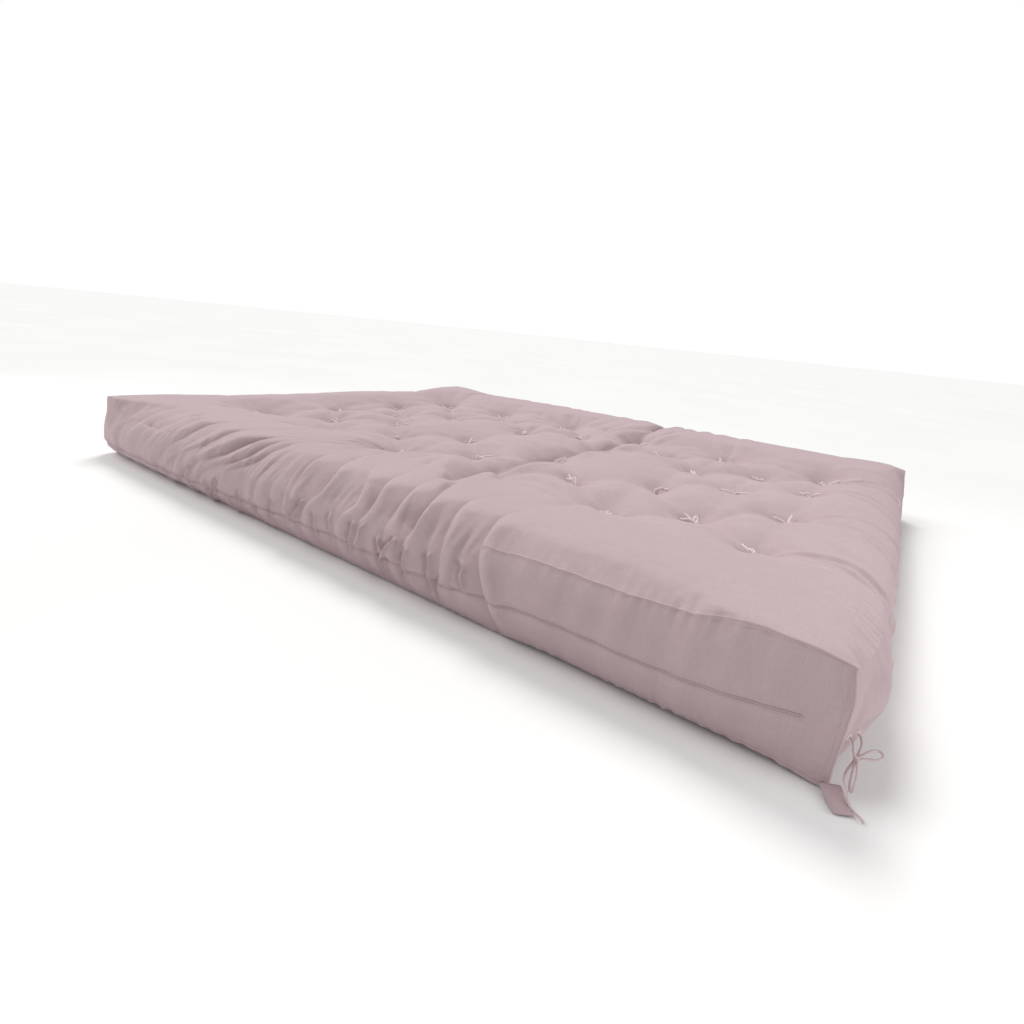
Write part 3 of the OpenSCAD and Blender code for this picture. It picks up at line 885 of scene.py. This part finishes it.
def cord_cotton(name, light, dark, scale):
    n = Nodes(name)
    place = n("TexCoord")[3]
    fibre, blotch = n.noise(place, scale, 4), n.noise(place, scale / 9)
    base = n.mix((fibre, 0.3, 0.7, 0, 1), dark, light)
    base = n.mix((blotch, 0.4, 0.7, 0, 0.35), base, dark)
    bump = n.bump(0.6, 1.0, n.math("MULTIPLY", fibre, 0.0006))
    return n.finish(base, n.spread(blotch, 0.3, 0.7, 0.72, 0.9), 0.3, (0.3, 0.5), Normal=bump)


def felt_batt():
    """Needled cotton felt of mixed pale and grey fibres."""
    n = Nodes("felt_batt")
    place = n("TexCoord")[3]
    fibre = n.noise(place, 320, 5, Distortion=2.5)
    tufts = n("TexVoronoi", {"Vector": place, "Scale": 90}, feature="SMOOTH_F1")[0]
    base = n.mix((fibre, 0.3, 0.7, 0, 1), colour(176, 170, 160), colour(222, 217, 206))
    base = n.mix((n.noise(place, 140), 0.62, 0.70, 0, 0.5), base, colour(104, 112, 128))
    height = n.math("MULTIPLY_ADD", tufts, 0.5, n.math("MULTIPLY", fibre, 0.5))
    return n.finish(base, n.spread(fibre, 0.3, 0.7, 0.86, 0.97), 0.2, (0.2, 0.6),
                    Normal=n.bump(0.7, 0.002, height))


def foam():
    """Open-cell foam in pale yellow, with fine pores whose hollows are darkened as painted shade.
    """
    n = Nodes("foam")
    place = n("TexCoord")[3]
    pores = n("TexVoronoi", {"Vector": place, "Scale": 420})[0]
    age = n.noise(place, 5, 3)
    base = n.mix((age, 0.3, 0.7, 0, 1), colour(226, 208, 160), colour(236, 222, 184))
    # Painted shade: the colour darkens towards each pore's middle, where the bump sinks.
    base = n.mix((pores, 0.0, 0.35, 0.4, 0), base, colour(168, 146, 96))
    return n.finish(base, n.spread(age, 0.3, 0.7, 0.85, 0.95), 0.3,
                    Normal=n.bump(0.6, 0.001, pores))


def pale_floor():
    n = Nodes("pale_floor")
    place = n("TexCoord")[3]
    cloud = n.noise(place, 0.8)
    base = n.mix((cloud, 0.3, 0.7, 0, 1), (0.87, 0.87, 0.865, 1), (0.90, 0.90, 0.895, 1))
    return n.finish(base, 0.9, 0.1)


# ---------------------------------------------------------------- the camera and lights
def place_camera():
    """The camera fitted to the photo: focal length in pixels, its axes and its place."""
    focal, picture, sensor = 554.3, 1024, 36
    lens = bpy.data.cameras.new("camera")
    lens.sensor_width = sensor
    lens.lens = focal / picture * sensor
    lens.clip_start = 0.01
    eye = add("camera", lens)
    right = Vector((0.80245, 0.58912, 0.09495))
    down = Vector((0.25614, -0.19635, -0.94649))
    ahead = Vector((-0.53895, 0.78383, -0.30846))
    matrix = Matrix((right, -down, -ahead)).transposed().to_4x4()
    matrix.translation = (0.979, -1.461, 0.474)
    eye.matrix_world = matrix
    bpy.context.scene.camera = eye


def lamp(name, kind, toward, energy, **settings):
    light = bpy.data.lights.new(name, kind)
    light.energy = energy
    for key, value in settings.items():
        setattr(light, key, value)
    thing = add(name, light)
    thing.rotation_mode = "QUATERNION"
    thing.rotation_quaternion = Vector(toward).to_track_quat("Z", "Y")
    return thing


def place_lights():
    """Broad soft light from above and behind, a weaker one from above the head end, soft
    panels at the foot end and far front, and a white surround that looks brighter than it
    lights."""
    lamp("key", "SUN", (-0.42, 0.58, 0.90), 1.72, angle=math.radians(24), color=(1.0, 0.99, 0.98))
    lamp("high", "SUN", (-0.70, -0.25, 0.80), 0.84, angle=math.radians(36))
    for name, place, target, power in (
        ("side", (2.3, -0.45, 0.55), (1.0, -0.2, 0.08), 8.6),
        ("far_fill", (-2.3, -1.7, 0.60), (-0.8, -0.8, 0.08), 8.5),
    ):
        panel = lamp(name, "AREA", Vector(place) - Vector(target), power, size=1.2)
        panel.location = place
        panel.visible_camera = False
    world = bpy.data.worlds.new("studio")
    bpy.context.scene.world = world
    world.use_nodes = True
    tree = world.node_tree
    back = tree.nodes["Background"]
    back.inputs["Color"].default_value = (1, 1, 1, 1)
    seen = tree.nodes.new("ShaderNodeLightPath").outputs["Is Camera Ray"]
    strength = tree.nodes.new("ShaderNodeMapRange")
    strength.inputs["To Min"].default_value = 0.46
    strength.inputs["To Max"].default_value = 1.0
    tree.links.new(seen, strength.inputs["Value"])
    tree.links.new(strength.outputs[0], back.inputs["Strength"])
    bpy.context.scene.view_settings.view_transform = "Standard"


def place_floor(material):
    half, low = 150, -0.0015
    corners = [(-half, -half, low), (half, -half, low), (half, half, low), (-half, half, low)]
    mesh = bpy.data.meshes.new("floor")
    mesh.from_pydata(corners, [], [(0, 1, 2, 3)])
    mesh.materials.append(material)
    floor = add("floor", mesh)


# ---------------------------------------------------------------- the corner tie
CORD_D = 0.003
EYELETS = ((1.0132, -0.775, 0.0631), (1.0205, -0.757, 0.0612))
EYELET_LEAN = 0.40  # how fast the cloth there comes out, per metre along Y
# The cord's three routes, in mm
SIDE_LOOP = [
    (1014.2, -775, 63.1), (1016.6, -775.6, 62.8), (1018.6, -777.6, 61),
    (1020, -780.3, 57.5), (1021.9, -782.4, 51.6), (1025.4, -783.6, 47.4),
    (1029.7, -779.6, 49.5), (1034.5, -772.6, 52.4), (1039.3, -766.2, 54),
    (1044.3, -761.5, 53.9), (1048.3, -761.6, 53.2), (1050.3, -763.7, 51),
    (1048.7, -768.1, 49), (1043.7, -773.2, 48), (1037.5, -776.4, 47.2),
    (1032.3, -779.1, 46.4), (1028.4, -779.6, 45.3),
]
LOW_LOOP = [
    (1021.5, -757, 61.2), (1024.3, -758.2, 60.8), (1026.4, -762, 58.8),
    (1027.6, -769, 56.4), (1027.2, -776, 52.7), (1026.4, -780.2, 46.6),
    (1028.6, -785.3, 40.3), (1030.5, -789.3, 33.3), (1031.3, -793.1, 25.5),
    (1031.7, -796, 17.9), (1031.7, -797.2, 14.4), (1030.6, -797.7, 11.8),
    (1028.9, -797, 11.9), (1027.8, -795, 14.4), (1027.1, -791.6, 20),
    (1026.5, -788, 27), (1025.9, -785.2, 35.6),
    (1026, -782.3, 42.7),
]
TAIL = [
    (1025.6, -779.8, 42.6), (1023.6, -782.2, 37.6), (1021.4, -786.2, 30.8),
    (1020.2, -791, 24.7), (1021.2, -796.8, 20.3), (1024.4, -801.5, 16.6),
    (1027.5, -805.4, 11.8), (1030, -809.5, 6.8), (1034, -814, 3.2), (1039.5, -817.5, 1.8),
    (1045, -822, 1.8), (1048, -827, 1.8),
]
KNOT_AT = np.array((1.0262, -0.7812, 0.0455))


def knot_path(size, turn=0.0, tilt=0.0, step=0.0008):
    """A small closed overhand knot, about size across."""
    t = np.linspace(0, 2 * np.pi, 73)[:-1]
    p = np.c_[
        np.sin(t) + 2 * np.sin(2 * t), np.cos(t) - 2 * np.cos(2 * t), -1.1 * np.sin(3 * t)
    ] * size / 6.0
    c, s = math.cos(tilt), math.sin(tilt)
    p = p @ np.array([[1, 0, 0], [0, c, -s], [0, s, c]])
    c, s = math.cos(turn), math.sin(turn)
    p = p @ np.array([[c, -s, 0], [s, c, 0], [0, 0, 1]])
    return smooth_path(np.vstack((p, p[:1])), step)


def corner_tie(material):
    for name, route, phase, frayed in (
        ("tie_side_loop", SIDE_LOOP, 0, 0), ("tie_low_loop", LOW_LOOP, 1, 0),
        ("tie_tail", TAIL, 2, 0.35),
    ):
        path = smooth_path(mm(*route), 0.0011)
        strand = twisted_cord(path, CORD_D, phase=phase, frayed=frayed)
        cord = piece(name, *strand, material, "tie_cord")
        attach(cord, FOOT)
        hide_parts("corner_" + name)
    wraps = [
        twisted_cord(KNOT_AT + knot_path(0.0062, 0.4, 1.2), 0.0030, phase=0.5),
        twisted_cord(KNOT_AT + knot_path(0.0048, 1.9, 0.3), 0.0028, phase=1.5),
    ]
    knot = piece("tie_knot", *joined(wraps), material, "tie_cord")
    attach(knot, FOOT)
    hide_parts("corner_tie_knot")


# ---------------------------------------------------------------- seams and stitches
class Cover:
    """Looks up places on the finished cover by their flat coordinates."""

    def __init__(self, flat, place, ids, axes, faces):
        self.flat, self.place, self.ids, self.axes = flat, place, ids, axes
        self.normals = mesh_normals(place, faces)

    def at(self, panel, u, v):
        """(points, normals) at flat u, v of a panel: x, y or x, z or y, z in that order."""
        a, b, _ = PANELS[panel]
        ids = self.ids[panel] if a < b else self.ids[panel].T
        u, v = np.broadcast_arrays(np.asarray(u, float), np.asarray(v, float))
        i, fi = self.cell(self.axes[min(a, b)], u)
        j, fj = self.cell(self.axes[max(a, b)], v)
        out = []
        for values in (self.place, self.normals):
            g = values[ids]
            low = g[i, j] * (1 - fi)[:, None] + g[i + 1, j] * fi[:, None]
            high = g[i, j + 1] * (1 - fi)[:, None] + g[i + 1, j + 1] * fi[:, None]
            out.append(low * (1 - fj)[:, None] + high * fj[:, None])
        return out[0], unit(out[1])

    @staticmethod
    def cell(axis, value):
        i = np.clip(np.searchsorted(axis, value, side="right") - 1, 0, len(axis) - 2)
        return i, np.clip((value - axis[i]) / (axis[i + 1] - axis[i]), 0, 1)


def stitches(points, normals, pitch, length, thick):
    """Raised thread stitches along a line on the cloth, each dipping in at its ends."""
    run = run_along(points)
    count = int(run[-1] / pitch)
    if count < 1:
        return []
    starts = (np.arange(count) + 0.5 * (1 - length / pitch)) * pitch
    lift = np.array([-0.35, 0.18, 0.42, 0.18, -0.35]) * thick
    size = np.array([0.35, 0.85, 1.0, 0.85, 0.35]) * thick / 2
    at = starts[:, None] + np.array([0, 0.12, 0.5, 0.88, 1.0]) * length
    centre, normal = sample(at, run, points), unit(sample(at, run, normals))
    side = unit(np.cross(unit(centre[:, -1:] - centre[:, :1]), normal))
    centre = centre + normal * lift[None, :, None]
    sides = 6
    angle = np.arange(sides)[:, None] * 2 * np.pi / sides
    ring = side[:, :, None] * np.cos(angle) + normal[:, :, None] * np.sin(angle)
    grid = centre[:, :, None] + ring * size[None, :, None, None]
    ids = wrapped_ids(len(size), sides)
    caps = np.array([ids[0, :-1][::-1], ids[-1, :-1]])
    offset = (np.arange(count) * ids[:, :-1].size)[:, None, None]
    return [(grid.reshape(-1, 3), [
        (grid_faces(ids)[None] + offset).reshape(-1, 4), (caps[None] + offset).reshape(-1, sides),
    ])]


def fold_ridge(points, normals, width, height):
    """The turned edge of a seam: a low half-round ridge that follows a line."""
    side = unit(np.cross(unit(np.gradient(points, axis=0)), normals))
    angle = np.linspace(0, np.pi, 7)
    across = np.cos(angle) * width / 2
    up = np.sin(angle) ** 0.8 * height - 0.0006
    grid = (points[:, None] + side[:, None] * across[None, :, None]
            + normals[:, None] * up[None, :, None])
    low = points[:, None] + side[:, None] * across[[0, -1]][None, :, None] * 0.6
    low = low - normals[:, None] * 0.0016
    grid = np.concatenate((grid, low[:, 1:], low[:, :1]), axis=1)
    ids = wrapped_ids(*grid.shape[:2])
    caps = np.array([ids[0, :-1], ids[-1, :-1][::-1]])
    return grid.reshape(-1, 3), [grid_faces(ids)[:, ::-1], caps]


def build_seams(cover, cloth, thread, painted_shade_thread):
    xs = np.arange(-HALF_L, HALF_L + 1e-9, 0.004)
    ys = np.arange(-HALF_W, HALF_W + 1e-9, 0.004)
    zs = np.arange(0, THICK + 1e-9, 0.004)
    inset, apart = 0.0045, 0.0019  # rows of stitches from a seam, and from the strip seam
    lines, ridges = {}, {}

    def row(name, panel, u, v):
        lines.setdefault(name, []).append(cover.at(panel, u, v))

    def ridge(name, panel, u, v, width, height):
        ridges.setdefault(name, []).append((*cover.at(panel, u, v), width, height))

    crisp = xs[xs > 0.47]
    row("top_seam", FRONT, crisp[:-2], THICK - inset)
    row("top_seam", FRONT, xs[(xs < -HALF_L + 0.10)][2:], THICK - inset)
    ridge("crisp_top_seam", FRONT, crisp, THICK, 0.0034, 0.0012)
    for panel, run in ((FRONT, xs), (BACK, xs), (FOOT_END, ys), (HEAD_END, ys)):
        row("bottom_seam", panel, run[2:-2], inset)
        ridge("top_seam", panel, run, THICK, 0.0024, 0.0005)
        ridge("bottom_seam", panel, run, 0.001, 0.0032, 0.0011)
    for panel, u in ((FRONT, HALF_L), (FRONT, -HALF_L), (BACK, HALF_L), (BACK, -HALF_L)):
        name = "corner_seams_foot" if u > 0 else "corner_seams_head"
        ridge(name, panel, u, zs[:-1], 0.0030, 0.0010)
        row(name, panel, u - math.copysign(inset, u), zs[1:-2])
    strip = xs[xs <= SEAM_END_X]
    for v in (SEAM_Z - apart, SEAM_Z + apart):
        row("strip_seam", FRONT, strip[1:], v)
    ridge("strip_seam", FRONT, strip, SEAM_Z - 0.0004, 0.0030, 0.0012)

    for name, parts in ridges.items():
        made = joined([fold_ridge(*part) for part in parts])
        follow_cover(piece("welt_" + name, *made, cloth, "cover"), name)
    for name, parts in lines.items():
        made = joined([s for part in parts for s in stitches(*part, *STITCH)])
        # The strip seam's stitches are real, but their darker thread is painted shade, standing for
        # the shadow line under the seam's turned edge.
        cotton = painted_shade_thread if name == "strip_seam" else thread
        follow_cover(piece("stitching_" + name, *made, cotton, "cover"), name)


def follow_cover(thing, name=""):
    """Rides on the head or foot section when its name says which; anything else stays in place, its
    transform baked in.
    """
    if "head" in name:
        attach(thing, HEAD)
    elif "foot" in name:
        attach(thing, FOOT)
    else:
        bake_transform(thing)


# ---------------------------------------------------------------- the cover's panels
def build_panels(cover, cloth):
    split = round(SEAM_Z / THICK * (len(cover.axes[2]) - 1))
    for name, panel, rows, node in (
        ("cover_top", TOP, slice(None), "top_panel"),
        ("cover_bottom", BOTTOM, slice(None), "bottom_panel"),
        ("cover_front_upper", FRONT, slice(split, None), "front_band_upper"),
        ("cover_front_lower", FRONT, slice(0, split + 1), "front_band_lower"),
        ("cover_back", BACK, slice(None), "back_band"),
        ("cover_end_foot", FOOT_END, slice(None), "end_band"),
        ("cover_end_head", HEAD_END, slice(None), "end_band"),
    ):
        ids = cover.ids[panel][:, rows]
        used, local = np.unique(ids, return_inverse=True)
        faces = grid_faces(local.reshape(ids.shape))
        uv = cover.flat[used][:, sorted(PANELS[panel][:2])]
        thing = piece(name, cover.place[used], [faces], cloth, "cover", uv)
        follow_cover(thing, name)
        halves = ("foot",) if "foot" in name else ("head",) if "end" in name else ("head", "foot")
        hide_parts(*(f"{node}_{half}" for half in halves))


# ---------------------------------------------------------------- the filling
FELT_T, FOAM_T = 0.019, 0.043


def neighbours(grid, choose):
    """Each place's lowest or highest among itself and its neighbours."""
    padded = np.pad(grid, 1, mode="edge")
    rows, columns = grid.shape
    views = [padded[a : a + rows, b : b + columns] for a in range(3) for b in range(3)]
    return choose.reduce(views)


def build_filling(inner, felt, foam_material):
    """Felt batts and a foam middle, all dimpled by the tufts like the cover."""
    place, ids = inner
    xs, ys = evenly(HALF_L, COARSE_X), evenly(HALF_W, COARSE_Y)
    top, bottom = place[ids[TOP]].copy(), place[ids[BOTTOM]].transpose(1, 0, 2).copy()
    for _ in range(3):
        top[:, :, 2] = neighbours(top[:, :, 2], np.minimum)
        bottom[:, :, 2] = neighbours(bottom[:, :, 2], np.maximum)
    levels = np.cumsum([0, *[FELT_T] * 3, FOAM_T, *[FELT_T] * 3])
    levels = levels / levels[-1]
    r = np.random.default_rng(77)
    for k in range(7):
        box_flat, box_ids = sewn_box(xs[::2], ys[::2], np.linspace(0, THICK, 5))
        z = Zones(box_flat)
        i = np.round((z.x + HALF_L) / (xs[1] - xs[0])).astype(int)
        j = np.round((z.y + HALF_W) / (ys[1] - ys[0])).astype(int)
        low = levels[k] + (0.03 if k == 0 else 0.002)
        high = levels[k + 1] - (0.085 if k == 6 else 0.002)
        share = low + (high - low) * z.up
        a, b = bottom[i, j], top[i, j]
        points = a + (b - a) * share[:, None]
        points[:, 2] = np.maximum(points[:, 2], 0.004 + 0.001 * z.up)
        inset = 0.016 if k in (0, 6) else 0.012
        points[:, :2] *= 1 - inset / np.array([HALF_L, HALF_W])
        wall = z.side_x | z.side_y
        belly = 0.010 * np.sin(np.pi * np.clip(share, 0, 1))
        edge = wall * (0.5 + 0.5 * np.sin(np.pi * z.up)) * belly
        points[:, 0] += np.sign(z.x) * z.side_x * edge
        points[:, 1] += np.sign(z.y) * z.side_y * edge
        fluff = r.normal(0, 1, len(points)) * 0.0006
        points[:, :2] += np.c_[z.side_x, z.side_y] * fluff[:, None]
        faces = [np.concatenate([grid_faces(g) for g in box_ids])]
        if k == 3:
            thing, node = piece("foam_middle", points, faces, foam_material, "foam"), "foam_core"
        else:
            number = k + 1 if k < 3 else k
            thing = piece(f"felt_batt_{number}", points, faces, felt, "felt")
            node = f"felt_{number}"
        follow_cover(thing)
        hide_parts(node + "_head", node + "_foot")


# ---------------------------------------------------------------- the tufts
TWINE_D = 0.0044


def tuft_bow(cover, x, y, r):
    """Twine through the mattress, with a knot, two tails and a loop or two on top."""
    parts = []

    def twine(path, **more):
        parts.append(twisted_cord(path, TWINE_D, sides=10, **more))

    (base,), (up,) = cover.at(TOP, [x], [y])
    (under,), _ = cover.at(BOTTOM, [x], [y])
    knot_at = base + up * 0.0055
    for turn, tilt, size in ((r.uniform(0, 6), r.uniform(-0.5, 0.5), 0.0095),
                             (r.uniform(0, 6), r.uniform(0.5, 1.2), 0.0075)):
        twine(knot_at + knot_path(size, turn, tilt, 0.0010))

    def lying(points_uv, lifts):
        """Flat offsets from the tuft laid on the cloth, lifted by lifts."""
        q = np.asarray(points_uv) + (x, y)
        p, n = cover.at(TOP, q[:, 0], q[:, 1])
        return p + n * (TWINE_D / 2 + np.asarray(lifts))[:, None]

    heading = r.uniform(0, 2 * np.pi)
    for k in range(2):
        length, bend = r.uniform(0.030, 0.046), r.uniform(-0.9, 0.9)
        a = heading + k * r.uniform(0.5, 2.9)
        t = np.linspace(0, 1, 7)
        angle = a + bend * t
        step = np.c_[np.cos(angle), np.sin(angle)] * (length / 6)
        line = np.cumsum(step, axis=0) - step[0]
        lift = 0.0035 * (1 - t) ** 1.5 + 0.007 * np.sin(np.pi * t) + r.uniform(0, 0.010) * t**2
        path = lying(line, lift)
        path[0] = knot_at
        twine(smooth_path(path, 0.0013), phase=r.uniform(0, 6), frayed=0.45)
    for _ in range(r.integers(1, 3)):
        a, long, wide = r.uniform(0, 6.28), r.uniform(0.018, 0.026), r.uniform(0.004, 0.007)
        t = np.linspace(0, 2 * np.pi, 11)
        out = (1 - np.cos(t)) / 2
        loop = np.c_[out * long, np.sin(t) * wide * (0.6 + 0.4 * out)]
        loop = loop @ np.array([[math.cos(a), math.sin(a)], [-math.sin(a), math.cos(a)]])
        lift = 0.0025 + 0.010 * np.sin(t / 2)
        twine(smooth_path(lying(loop, lift), 0.0013))

    # A short bar on the underside, and the twine's two passes through the stack
    bar = under + np.array([[0, -0.005, 0.0056], [0, -0.005, 0.0016], [0, -0.0035, -0.0010],
                            [0, 0, -0.0016], [0, 0.0035, -0.0010], [0, 0.005, 0.0016],
                            [0, 0.005, 0.0056]])
    twine(smooth_path(bar, 0.0013))
    for s in (-0.0022, 0.0022):
        legs = np.linspace(under + (s, 0, 0.002), base + (s, 0, 0.001), 5)
        parts.append(twisted_cord(smooth_path(legs, 0.004), 0.0024, sides=6, pitch=0.03))
    return parts


def build_tufts(cover, twine):
    r = np.random.default_rng(104)
    groups = {HEAD: [], FOOT: []}
    for x, y in TUFTS:
        groups[FOOT if x > CREASE_X else HEAD] += tuft_bow(cover, x, y, r)
    for body, parts in groups.items():
        side = body.split("_")[0]
        thing = piece(f"tufting_twine_{side}", *joined(parts), twine, "twine")
        follow_cover(thing)
        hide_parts("tuft_twine_" + side)


# ---------------------------------------------------------------- eyelets and tab
def build_eyelets(thread):
    """Two worked eyelets: thread wound radially over a ring, in the foot end's cloth."""
    parts = []
    turns, sides, ring_r, tube = 26, 8, 0.0038, 0.00155
    for x, y, height in EYELETS:
        t = np.linspace(0, 2 * np.pi, turns * 6, endpoint=False)
        a = np.linspace(0, 2 * np.pi, sides, endpoint=False)
        ridge = 1 + 0.16 * np.abs(np.sin(t * turns / 2))
        radial = ring_r + np.cos(a)[None] * tube * ridge[:, None]
        out = np.sin(a)[None] * tube * ridge[:, None] * 0.75
        points = np.stack((
            x + EYELET_LEAN * radial * np.cos(t)[:, None] + out,
            y + radial * np.cos(t)[:, None],
            height + radial * np.sin(t)[:, None],
        ), axis=2)
        ids = wrapped_ids(len(t), sides)
        ids = np.vstack((ids, ids[:1]))
        parts.append((points.reshape(-1, 3), [grid_faces(ids)[:, ::-1]]))
    thing = piece("worked_eyelets", *joined(parts), thread, "eyelet_thread")
    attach(thing, FOOT)
    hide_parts("corner_eyelets")


def build_tab(cloth, thread):
    """A tape folded double, sewn into the corner's bottom seam, lying outwards."""
    root, turn = np.array((HALF_L + 0.0095, -HALF_W + 0.003)), math.radians(-60)
    along = np.array((math.cos(turn), math.sin(turn)))
    across = np.array((-along[1], along[0]))
    length, width, layer, gap = 0.036, 0.024, 0.0012, 0.0006
    mid = layer + gap / 2
    runs = np.linspace(0, 1, 22)
    bend = np.linspace(-np.pi / 2, np.pi / 2, 9)[1:-1]

    def loop(radius):
        low = [(r * length, mid - radius) for r in runs]
        arc = [(length + radius * math.cos(b), mid + radius * math.sin(b)) for b in bend]
        high = [(r * length, mid + radius) for r in runs[::-1]]
        return np.array(low + arc + high)

    def lift(s, w):
        """The tape lies in slight waves, and rises to the seam at its root."""
        waves = 0.0012 * np.sin(s * 95 + w * 120) * ramp(0.004, 0.02, s)
        return 0.0004 + np.maximum(0, waves) + 0.006 * ramp(0.022, 0.0, s)

    section = np.vstack((loop(mid), loop(gap / 2)[::-1]))
    ws = np.linspace(-width / 2, width / 2, 19)
    s, h = section.T
    from_middle = ws[:, None] * (1 - 0.05 * ramp(0.004, 0.03, s))
    xy = root + along * s[:, None] + across * from_middle[:, :, None]
    points = np.dstack((xy, h + lift(s, ws[:, None]))).reshape(-1, 3)
    count = len(section)
    ids = wrapped_ids(len(ws), count)
    half = count // 2
    rim = []
    for row, flip in ((ids[0], 1), (ids[-1], -1)):
        outer_ids, inner_ids = row[:half], row[half:-1][::-1]
        strip = np.stack((outer_ids[:-1], outer_ids[1:], inner_ids[1:], inner_ids[:-1]), 1)
        rim.append(strip[:, ::flip])
    uv = np.c_[np.repeat(ws, count), np.tile(s, len(ws))]
    tab = piece("corner_loop_tab", points, [np.vstack((grid_faces(ids), *rim))], cloth, "cover", uv)
    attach(tab, FOOT)
    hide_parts("corner_tab")
    lines = []
    for w in (-width / 2 + 0.003, width / 2 - 0.003):
        s = np.linspace(0.002, length - 0.002, 12)
        xy = root + along * s[:, None] + across * w * 0.96
        points = np.c_[xy, 2 * mid + lift(s, w)]
        lines += stitches(points, np.tile((0.0, 0, 1), (12, 1)), *TAB_STITCH)
    sewn = piece("stitching_tab", *joined(lines), thread, "cover")
    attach(sewn, FOOT)


# ---------------------------------------------------------------- everything together
THREAD = 0.0007
COVER_LIGHT, COVER_DARK = colour(196, 175, 178), colour(190, 168, 171)
# The deep colour serves both the slubs' own darker threads and the painted shade in the weave's
# hollows.
COVER_PALE, COVER_DEEP_SLUB_AND_SHADE = colour(206, 188, 190), colour(166, 142, 146)

place_camera()
place_lights()
place_floor(pale_floor())
TIE = cord_cotton("tie_cotton", colour(226, 208, 208), colour(200, 178, 181), 900)
corner_tie(TIE)

FLAT, CASE, IDS, AXES, INNER, FACES = make_case()
COVER = Cover(FLAT, CASE, IDS, AXES, FACES)
CLOTH = cotton_cover()
SEWING = cord_cotton("sewing_thread", colour(208, 186, 190), colour(184, 158, 164), 1600)
# A darker thread for the strip seam: its colour is painted shade, for the seam's shadow line.
SEAM_SHADE_SEWING = cord_cotton("painted_shade_thread", colour(180, 157, 161), colour(160, 136, 141), 1600)
TWINE = cord_cotton("cotton_twine", colour(250, 240, 237), colour(228, 210, 208), 1100)
build_panels(COVER, CLOTH)
build_seams(COVER, CLOTH, SEWING, SEAM_SHADE_SEWING)
build_filling(INNER, felt_batt(), foam())
build_tufts(COVER, TWINE)
build_eyelets(cord_cotton("eyelet_cotton", colour(232, 215, 215), colour(205, 184, 187), 1300))
build_tab(CLOTH, SEWING)
